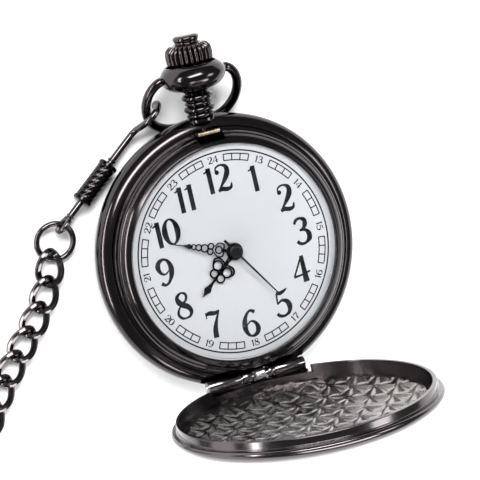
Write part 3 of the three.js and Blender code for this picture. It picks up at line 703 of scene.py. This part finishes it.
hand("hour_hand_scroll", "hour_hand", "hours", 229.5, (10.25, 10.42), [
    ([(0, 1.0), (0, 1.8), (0, 2.6), (0, 4.3), (0, 6.2)], [1.0, 0.6, 0.7, 0.35, 0.45]),
    ([(0, 6.0), (0, 6.7), (0, 7.4), (0, 8.1), (0, 8.8), (0, 9.5)], [0.4, 0.4, 0.7, 1.35, 0.6, 0.08]),
    ([(-0.3, 2.6), (-1.6, 2.5), (-2.2, 3.2), (-1.9, 4.0)], [0.28, 0.3, 0.28, 0.22]),
    ([(0.3, 2.6), (1.6, 2.5), (2.2, 3.2), (1.9, 4.0)], [0.28, 0.3, 0.28, 0.22]),
], [(-1.05, 3.7, 0.85, 0.28), (1.05, 3.7, 0.85, 0.28), (-0.72, 5.15, 0.72, 0.28), (0.72, 5.15, 0.72, 0.28)],
     1.5)
hand("minute_hand_scroll", "minute_hand", "minutes", 290.2, (10.64, 10.8), [
    ([(0, 0.6), (0, 1.6), (0, 2.4)], [0.8, 0.5, 0.6]),
    ([(0, 7.9), (0, 8.5), (0, 9.1), (0, 9.7), (0, 10.3), (0, 10.9), (0, 11.5), (0, 12.1)],
     [0.25, 0.95, 0.45, 0.22, 0.2, 0.18, 0.14, 0.08]),
    ([(-0.2, 2.2), (-1.0, 2.3), (-1.15, 3.2), (-0.5, 3.9)], [0.2, 0.24, 0.22, 0.18]),
    ([(0.2, 2.2), (1.0, 2.3), (1.15, 3.2), (0.5, 3.9)], [0.2, 0.24, 0.22, 0.18]),
], [(0, 3.1, 0.6, 0.22), (-0.45, 4.6, 0.5, 0.22), (0.45, 4.6, 0.5, 0.22), (0, 5.7, 0.62, 0.22),
    (0, 6.8, 0.5, 0.22), (0, 7.7, 0.42, 0.2)], 1.25)
hand("seconds_needle", "second_hand", "seconds", 145.2, (11.02, 11.14), [
    ([(0, -3.0), (0, -2.2), (0, -1.2), (0, 0)], [0.46, 0.44, 0.38, 0.38]),
    ([(0, 0), (0, 5), (0, 10.6)], [0.38, 0.32, 0.2]),
], [], 0.62)
cap_outline = filleted([
    (0, 11.1, 0), (1.2, 11.1, 0.03), (1.2, 11.3, 0.1), (0.9, 11.38, 0.1), (0, 11.4, 0),
], 4)
piece("seconds_cap", *turned(cap_outline, 48), lacquer, "seconds", "hands")


# ---- Crystal ------------------------------------------------------------------------------------
# The crystal is a shallow dome of mineral glass pressed into the bezel.

glass, tree, shader, place = new_material("mineral_glass")
shader.inputs["Base Color"].default_value = (0.97, 0.98, 0.98, 1)
shader.inputs["Transmission Weight"].default_value = 1
shader.inputs["IOR"].default_value = 1.02
shader.inputs["Specular IOR Level"].default_value = 0.5
tree.links.new(vary(tree, noise(tree, place, 1500), 0.0, 0.015), shader.inputs["Roughness"])
relief(tree, shader, noise(tree, place, 300), 0.0000004)
dome_radius = 130.0


def dome(apex, reach, steps=14):
    radii = reach * np.linspace(0, 1, steps)
    return [(r, apex - dome_radius + math.sqrt(dome_radius ** 2 - r ** 2)) for r in radii]


crystal_outline = dome(12.2, 18.3) + [(18.35, 10.7), (18.3, 10.25), (18.1, 10.22)] + dome(11.55, 17.9)[::-1]
piece("domed_crystal", *turned(crystal_outline, 128), glass, "watch_case", "crystal", ("crystal",))


# ---- Pendant ------------------------------------------------------------------------------------
# The neck is turned with fine beads and brazed to the case; it opens into a round cup that shelters
# the crown and takes the ends of the bow in two side holes.

stem_height = 7.0


def on_stem(points):
    """Lays a turning from the watch's axis over onto the stem's axis."""
    return [(x, z, stem_height - y) for x, y, z in points]


neck = [(1.35, 22.5), (1.9, 22.5), (2.35, 22.9), (2.35, 23.3)]
for start, bulge, length in ((23.45, 0.4, 0.9), (24.4, 0.72, 1.2), (25.65, 0.4, 0.7), (26.4, 0.75, 1.3)):
    for share in np.linspace(0, 1, 9):
        neck.append((1.95 + bulge * math.sin(math.pi * share) ** 0.6, start + length * share))
cup = flowing([
    (2.1, 28.0), (2.6, 28.25), (3.9, 28.6), (5.05, 29.4), (5.68, 30.5), (5.68, 31.3), (5.15, 32.2),
    (4.72, 32.6),
], 40)
cup_mouth = [
    (4.6, 32.75), (4.45, 32.8), (4.3, 32.7), (4.25, 31.9), (4.1, 31.75), (3.0, 31.75), (2.9, 31.6),
    (2.9, 28.8), (1.35, 28.7),
]
pendant_points, pendant_faces = turned(neck + [tuple(p) for p in cup] + cup_mouth, 96)
piece("pendant_cup", on_stem(pendant_points), pendant_faces, black_nickel, "watch_case", "gunmetal",
      ("pendant",))


# ---- Crown --------------------------------------------------------------------------------------
# The crown is a turned barrel with deep rounded flutes for the fingers and a plain button on top.

crown_profile = filleted([
    (0, 32.65, 0), (3.45, 32.65, 0.3), (3.95, 33.1, 0.4), (4.1, 34.3, 0.8), (3.95, 35.5, 0.5),
    (3.3, 36.15, 0.4), (2.5, 36.3, 0.25), (2.05, 36.5, 0.2), (2.08, 36.8, 0.15), (2.28, 37.0, 0.15),
    (2.28, 37.5, 0.25), (1.8, 37.82, 0.3), (0, 37.85, 0),
], 7)
flute_count = 26
flute_depth = 0.62
button_foot = 36.3
crown_steps = flute_count * 9
crown_points = []
for k in range(crown_steps):
    turn = 2 * math.pi * k / crown_steps
    valley = 1 - abs(math.sin(flute_count * turn / 2)) ** 0.8
    for r, y in crown_profile:
        fluted = max(0.0, min(1.0, (r - 2.7) / 0.8)) * (1.0 if y < button_foot else 0.0)
        reach = r - flute_depth * valley * fluted
        crown_points.append((reach * math.cos(turn), y, stem_height + reach * math.sin(turn)))
crown_nickel = metal("crown_nickel", (0.045, 0.04, 0.039), (0.06, 0.053, 0.051), 0.14, 0.22)
crown_faces = woven(crown_steps, len(crown_profile), True, False)
piece("fluted_crown", crown_points, crown_faces, crown_nickel, "crown", "gunmetal", ("crown",))


# ---- Bow ----------------------------------------------------------------------------------------
# The bow is one length of round wire bent to a loop, with its ends reduced to pins that turn in the
# cup, so it can fold down either way.

bow_wire_radius = 0.82
pin_step = 0.3                      # the wire's ends are this much thinner where they enter the cup
bow_half = [
    (4.6, 0), (5.7, 0.05), (6.9, 0.7), (8.0, 2.3), (8.5, 4.6), (8.1, 7.2), (6.7, 9.4), (4.4, 10.8),
    (2.0, 11.2),
]
bow_outline = [(-x, out) for x, out in bow_half] + [(0, 11.25)] + bow_half[::-1]
bow_line = [(x, bow_pivot - out * math.cos(bow_fold), stem_height - out * math.sin(bow_fold))
            for x, out in flowing(bow_outline, 150)]
bow_radius = [bow_wire_radius - (pin_step * max(0.0, min(1.0, (6.0 - abs(x)) / 0.7)) if y > 30.2 else 0.0)
              for x, y, z in bow_line]
piece("bow_wire", *tube(bow_line, bow_radius, 20), black_nickel, "bow", "gunmetal", ("bow",))


# ---- Front cover --------------------------------------------------------------------------------
# The cover is pressed from sheet: a domed outside, a rolled flange, and a lip that closes over the
# bezel. Its inside is lined with a stamped panel of fish scales, each cut with fine round lines.

hinge_y = -22.2
hinge_z = 8.4
cover_open = math.radians(93.2)


def opened(points):
    """Swings points of the closed cover up about its hinge."""
    c, s = math.cos(cover_open), math.sin(cover_open)
    return [(x, hinge_y + (y - hinge_y) * c - (z - hinge_z) * s,
             hinge_z + (y - hinge_y) * s + (z - hinge_z) * c) for x, y, z in points]


cover_outline = filleted([
    (21.4, 8.45, 0.1), (22.15, 8.45, 0.18), (22.15, 9.72, 0.1), (22.3, 9.8, 0.05), (22.3, 9.98, 0.05),
    (22.95, 10.0, 0.15), (23.3, 10.35, 0.3), (23.1, 11.0, 0.5), (22.2, 11.9, 0.9), (19.5, 12.95, 2),
    (14, 13.85, 3), (7, 14.3, 3), (0, 14.45, 0), (0, 13.85, 0), (10, 13.5, 3), (17, 12.7, 2),
    (20.8, 11.8, 0.3), (21.4, 11.5, 0.3),
])
cover_points, cover_faces = turned(cover_outline, 240)
cover_nickel = metal("cover_nickel", (0.085, 0.077, 0.079), (0.095, 0.086, 0.088), 0.14, 0.2)
cover = piece("cover_shell", cover_points, cover_faces, cover_nickel, "cover", "gunmetal")
milled(cover, (-9.4, -24, 8), (9.4, -19, 9.7))
swing_up = (Matrix.Translation((0, hinge_y * MM, hinge_z * MM)) @ Matrix.Rotation(cover_open, 4, "X")
            @ Matrix.Translation((0, -hinge_y * MM, -hinge_z * MM)))
cover.data.transform(swing_up)
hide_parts("front_cover")

line_pitch = 0.4
stamped, tree, shader, place = new_material("stamped_panel")
shader.inputs["Metallic"].default_value = 1
stamped_tone = vary(tree, noise(tree, place, 300, 4), (0.26, 0.245, 0.237), (0.29, 0.274, 0.265))
tree.links.new(stamped_tone, shader.inputs["Base Color"])
tree.links.new(vary(tree, noise(tree, place, 1200, 4), 0.14, 0.2), shader.inputs["Roughness"])
cut_lines = tree.nodes.new("ShaderNodeAttribute")
cut_lines.attribute_name = "from_scale_centre"
waves = tree.nodes.new("ShaderNodeMath")
waves.operation = "SINE"
closely = tree.nodes.new("ShaderNodeMath")
closely.operation = "MULTIPLY"
closely.inputs[1].default_value = 2 * math.pi / line_pitch
tree.links.new(cut_lines.outputs["Fac"], closely.inputs[0])
tree.links.new(closely.outputs[0], waves.inputs[0])
relief(tree, shader, waves.outputs[0], 0.00001)

scale_wide = 5.2
scale_row = 3.7
scale_reach = 3.9
scale_height = 0.45
ray_height = 0.11                    # fan-shaped rays run out from the middle of each scale
ray_count = 8
panel_radius = 21.35
panel_rim = 21.0                    # the pattern fades out towards the lip from here
panel_rows = 110
panel_columns = 460


def fish_scale(x, y):
    """(height, distance from the scale's centre) at a point of the panel, nearer rows lying on top."""
    row = math.floor(y / scale_row) - 1
    for step in range(4):
        k = row + step
        shift = 0.5 * scale_wide * (k % 2)
        centre_x = (math.floor((x - shift) / scale_wide + 0.5)) * scale_wide + shift
        away = math.hypot(x - centre_x, y - k * scale_row)
        if away < scale_reach * 0.98 and y - k * scale_row > -0.3 * scale_reach:
            turn = math.atan2(y - k * scale_row, x - centre_x)
            rays = ray_height * math.cos(ray_count * turn) * min(1.0, away / 0.8)
            return scale_height * (1 - (away / scale_reach) ** 2) + rays, away
    return 0.0, scale_reach


panel_points, panel_lines = [], []
for j in range(panel_columns):
    turn = 2 * math.pi * j / panel_columns
    for i in range(panel_rows):
        reach = panel_radius * i / (panel_rows - 1)
        x, y = reach * math.cos(turn), reach * math.sin(turn)
        height, away = fish_scale(x, y)
        fade = min(1.0, max(0.0, (panel_rim - reach) / 0.5))
        base = 13.5 - 2.3 * (reach / panel_radius) ** 2.4
        panel_points.append((x, y, base - height * fade))
        panel_lines.append(away)
    panel_points.append((panel_radius * math.cos(turn), panel_radius * math.sin(turn), 11.75))
    panel_points.append((0, 0, 13.8))
    panel_lines += [0.0, 0.0]
panel_faces = woven(panel_columns, panel_rows + 2, True, False)
panel_mesh = bare_mesh("stamped_lining", opened(panel_points), panel_faces)
line_attribute = panel_mesh.attributes.new("from_scale_centre", "FLOAT", "POINT")
line_attribute.data.foreach_set("value", panel_lines)
placed(panel_mesh, stamped, "cover", sharp=50)


# ---- Hinge --------------------------------------------------------------------------------------
# Four barrels share one steel pin: two long ones rolled from the cover's leaf, two short ones on the
# case, and between them the coil of the lift spring that throws the cover open.

def barrel(start, stop, radius):
    """A rolled barrel along the hinge, with softly broken edges."""
    soft = 0.12
    stations = [start, start + 0.3 * soft, start + soft, stop - soft, stop - 0.3 * soft, stop]
    shrink = [0.86, 0.96, 1, 1, 0.96, 0.86]
    return tube([(x, hinge_y, hinge_z) for x in stations], [radius * s for s in shrink], 36)


def leaf(start, stop, outline):
    """A flat part of the hinge: a (y, z) outline drawn out along the hinge."""
    points = [(x, y, z) for x in (start, stop) for y, z in outline]
    count = len(outline)
    return points, woven(2, count, False, True) + [tuple(range(count)), tuple(range(count, 2 * count))]


cover_leaf = filleted([
    (-22.95, 8.2, 0.2), (-23.15, 9.6, 0.2), (-22.9, 10.3, 0.2), (-21.6, 10.4, 0.2), (-21.35, 9.8, 0.2),
    (-21.25, 8.4, 0.2),
], 4)
cover_strip = filleted([(-23.15, 9.6, 0.1), (-23.1, 10.4, 0.2), (-21.4, 10.5, 0.2), (-21.35, 9.6, 0.1)], 4)
cover_leaves = [leaf(-9.4, 9.4, cover_strip)]
cover_rolls = []
barrel_radius = 1.05
for start, stop in ((-9.1, -2.9), (3.4, 9.1)):
    cover_rolls.append(barrel(start, stop, barrel_radius))
    cover_leaves.append(leaf(start + 0.05, stop - 0.05, cover_leaf))
# Painted sheen: this is the case's black nickel painted about three times lighter. It stands in for the long
# grey highlight along the barrels, and the case's leaves share it.
hinge_nickel_painted_sheen = metal("hinge_nickel_painted_sheen", (0.15, 0.141, 0.141), (0.175, 0.164, 0.163), 0.12, 0.18)
cover_hinge = (("cover_leaf", cover_leaves, black_nickel), ("cover_barrels", cover_rolls, hinge_nickel_painted_sheen))
for name, parts, finish in cover_hinge:
    hinge_points, hinge_faces = gathered(parts)
    piece(name, opened(hinge_points), hinge_faces, finish, "cover", "gunmetal")

case_leaf = filleted([(-23.2, 8.2, 0.2), (-23.1, 5.3, 0.2), (-21.2, 5.3, 0.2), (-21.2, 8.2, 0.2)], 4)
case_hinge = []
for start, stop in ((-2.6, -0.6), (2.2, 3.1)):
    case_hinge += [barrel(start, stop, barrel_radius), leaf(start + 0.05, stop - 0.05, case_leaf)]
piece("case_barrels", *gathered(case_hinge), hinge_nickel_painted_sheen, "watch_case", "gunmetal")

bright_steel = metal("bright_steel", (0.52, 0.52, 0.53), (0.68, 0.68, 0.69), 0.14, 0.28)
lift_turns = 2 * math.pi * 6
lift_radius = 0.92
spring_line = [(-0.3 + 2.1 * s, hinge_y + lift_radius * math.cos(lift_turns * s),
                hinge_z + lift_radius * math.sin(lift_turns * s)) for s in np.linspace(0, 1, 200)]
piece("lift_spring", *tube(spring_line, 0.16, 10), bright_steel, "watch_case", "steel", ("lid_spring",))
pin_stations = [(-9.25, 0.25), (-9.2, 0.36), (-9.1, 0.4), (9.1, 0.4), (9.2, 0.36), (9.25, 0.25)]
piece("hinge_rod", *tube([(x, hinge_y, hinge_z) for x, r in pin_stations], [r for x, r in pin_stations], 24),
      bright_steel, "watch_case", "steel", ("hinge_pin",))


# ---- Latch --------------------------------------------------------------------------------------
# The latch is a brass tongue behind the bezel's notch; its nose catches the closed cover's rim.

latch_brass = metal("latch_brass", (0.42, 0.34, 0.24), (0.56, 0.47, 0.34), 0.24, 0.4)
latch_outline = filleted([
    (20.5, 5.8, 0.05), (20.95, 5.8, 0.05), (20.95, 8.9, 0.05), (21.15, 9.1, 0.05), (21.15, 9.35, 0.08),
    (20.9, 9.5, 0.1), (20.5, 9.45, 0.1),
], 4)
piece("latch_tongue", *leaf(-2.0, 2.0, latch_outline), latch_brass, "catch", "brass", ("latch",))


# ---- Movement -----------------------------------------------------------------------------------
# The quartz movement is closed inside the case: pressed steel and brass parts in a black holder ring.

holder_tones = (0.012, 0.012, 0.013), (0.025, 0.025, 0.027)
holder_black, shader = coated("holder_black", holder_tones, 400, (0.5, 0.7), 2500, 4000, 6e-6)
board_tones = (0.01, 0.09, 0.035), (0.02, 0.13, 0.05)
board_green, shader = coated("board_green", board_tones, 900, (0.35, 0.5), 2500, 3000, 4e-6)

cut_brass = metal("cut_brass", (0.62, 0.45, 0.18), (0.75, 0.57, 0.26), 0.2, 0.34)
coil_copper = metal("coil_copper", (0.55, 0.22, 0.09), (0.68, 0.3, 0.13), 0.28, 0.42, 0.000008)
movement_finishes = {
    holder_black: ("movement_holder", "timing_chip"),
    board_green: ("circuit_board",),
    coil_copper: ("coil",),
    cut_brass: ("main_plate", "intermediate_wheel", "second_wheel", "third_wheel", "centre_wheel",
                "minute_wheel", "hour_wheel"),
    bright_steel: ("train_bridge", "rotor", "stator", "battery", "battery_clamp", "quartz_can",
                   "setting_lever", "setting_screw", "stem_clip", "crown_spring"),
    dark_nickel: ("latch_pusher", "winding_stem"),
}
for finish, nodes in movement_finishes.items():
    for node in nodes:
        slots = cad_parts[node].data.materials
        slots.clear()
        slots.append(finish)
